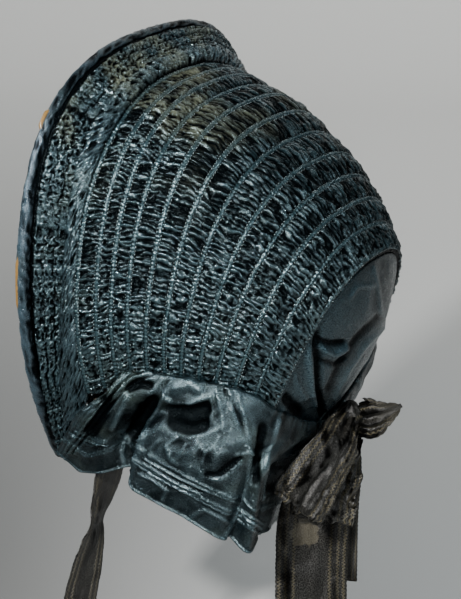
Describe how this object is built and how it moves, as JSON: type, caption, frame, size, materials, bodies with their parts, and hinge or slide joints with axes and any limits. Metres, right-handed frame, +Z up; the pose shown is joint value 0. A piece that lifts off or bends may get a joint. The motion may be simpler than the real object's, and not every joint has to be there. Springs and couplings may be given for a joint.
{
  "type": "drawn silk bonnet",
  "caption": "Drawn dark silk bonnet: a shirred hood over cane hoops with a wide brim, smooth crown tip, gathered neck curtain, chin ties and a ribbon bow at the nape.",
  "frame": {"origin": "where the top of the wearer's head bears inside the hood", "axes": "+Z up, -Y out of the face opening, +X to the wearer's left"},
  "size_m": [0.276, 0.1941, 0.3681],
  "materials": {
    "dark_silk": "glossy woven silk, worn olive on raised folds",
    "ribbon": "figured silk ribbon, satin, worn",
    "straw_cane": "split straw-gold cane, satin"
  },
  "bodies": {
    "root": {"brim_cane": "straw_cane", "brim_binding": "dark_silk", "brim_band": "dark_silk", "puff_band": "dark_silk", "drawn_cover": "dark_silk", "cane_casing_00": "dark_silk", "cane_casing_01": "dark_silk", "cane_casing_02": "dark_silk", "cane_casing_03": "dark_silk", "cane_casing_04": "dark_silk", "cane_casing_05": "dark_silk", "cane_casing_06": "dark_silk", "cane_casing_07": "dark_silk", "cane_casing_08": "dark_silk", "cane_casing_09": "dark_silk", "cane_casing_10": "dark_silk", "cane_casing_11": "dark_silk", "crown_tip": "dark_silk", "bavolet": "dark_silk", "tie_left": "ribbon", "tie_right": "ribbon", "bow_knot": "ribbon", "bow_loop_left": "ribbon", "bow_loop_right": "ribbon", "bow_end": "ribbon", "streamer_long": "ribbon", "streamer_short": "ribbon"}
  },
  "joints": []
}
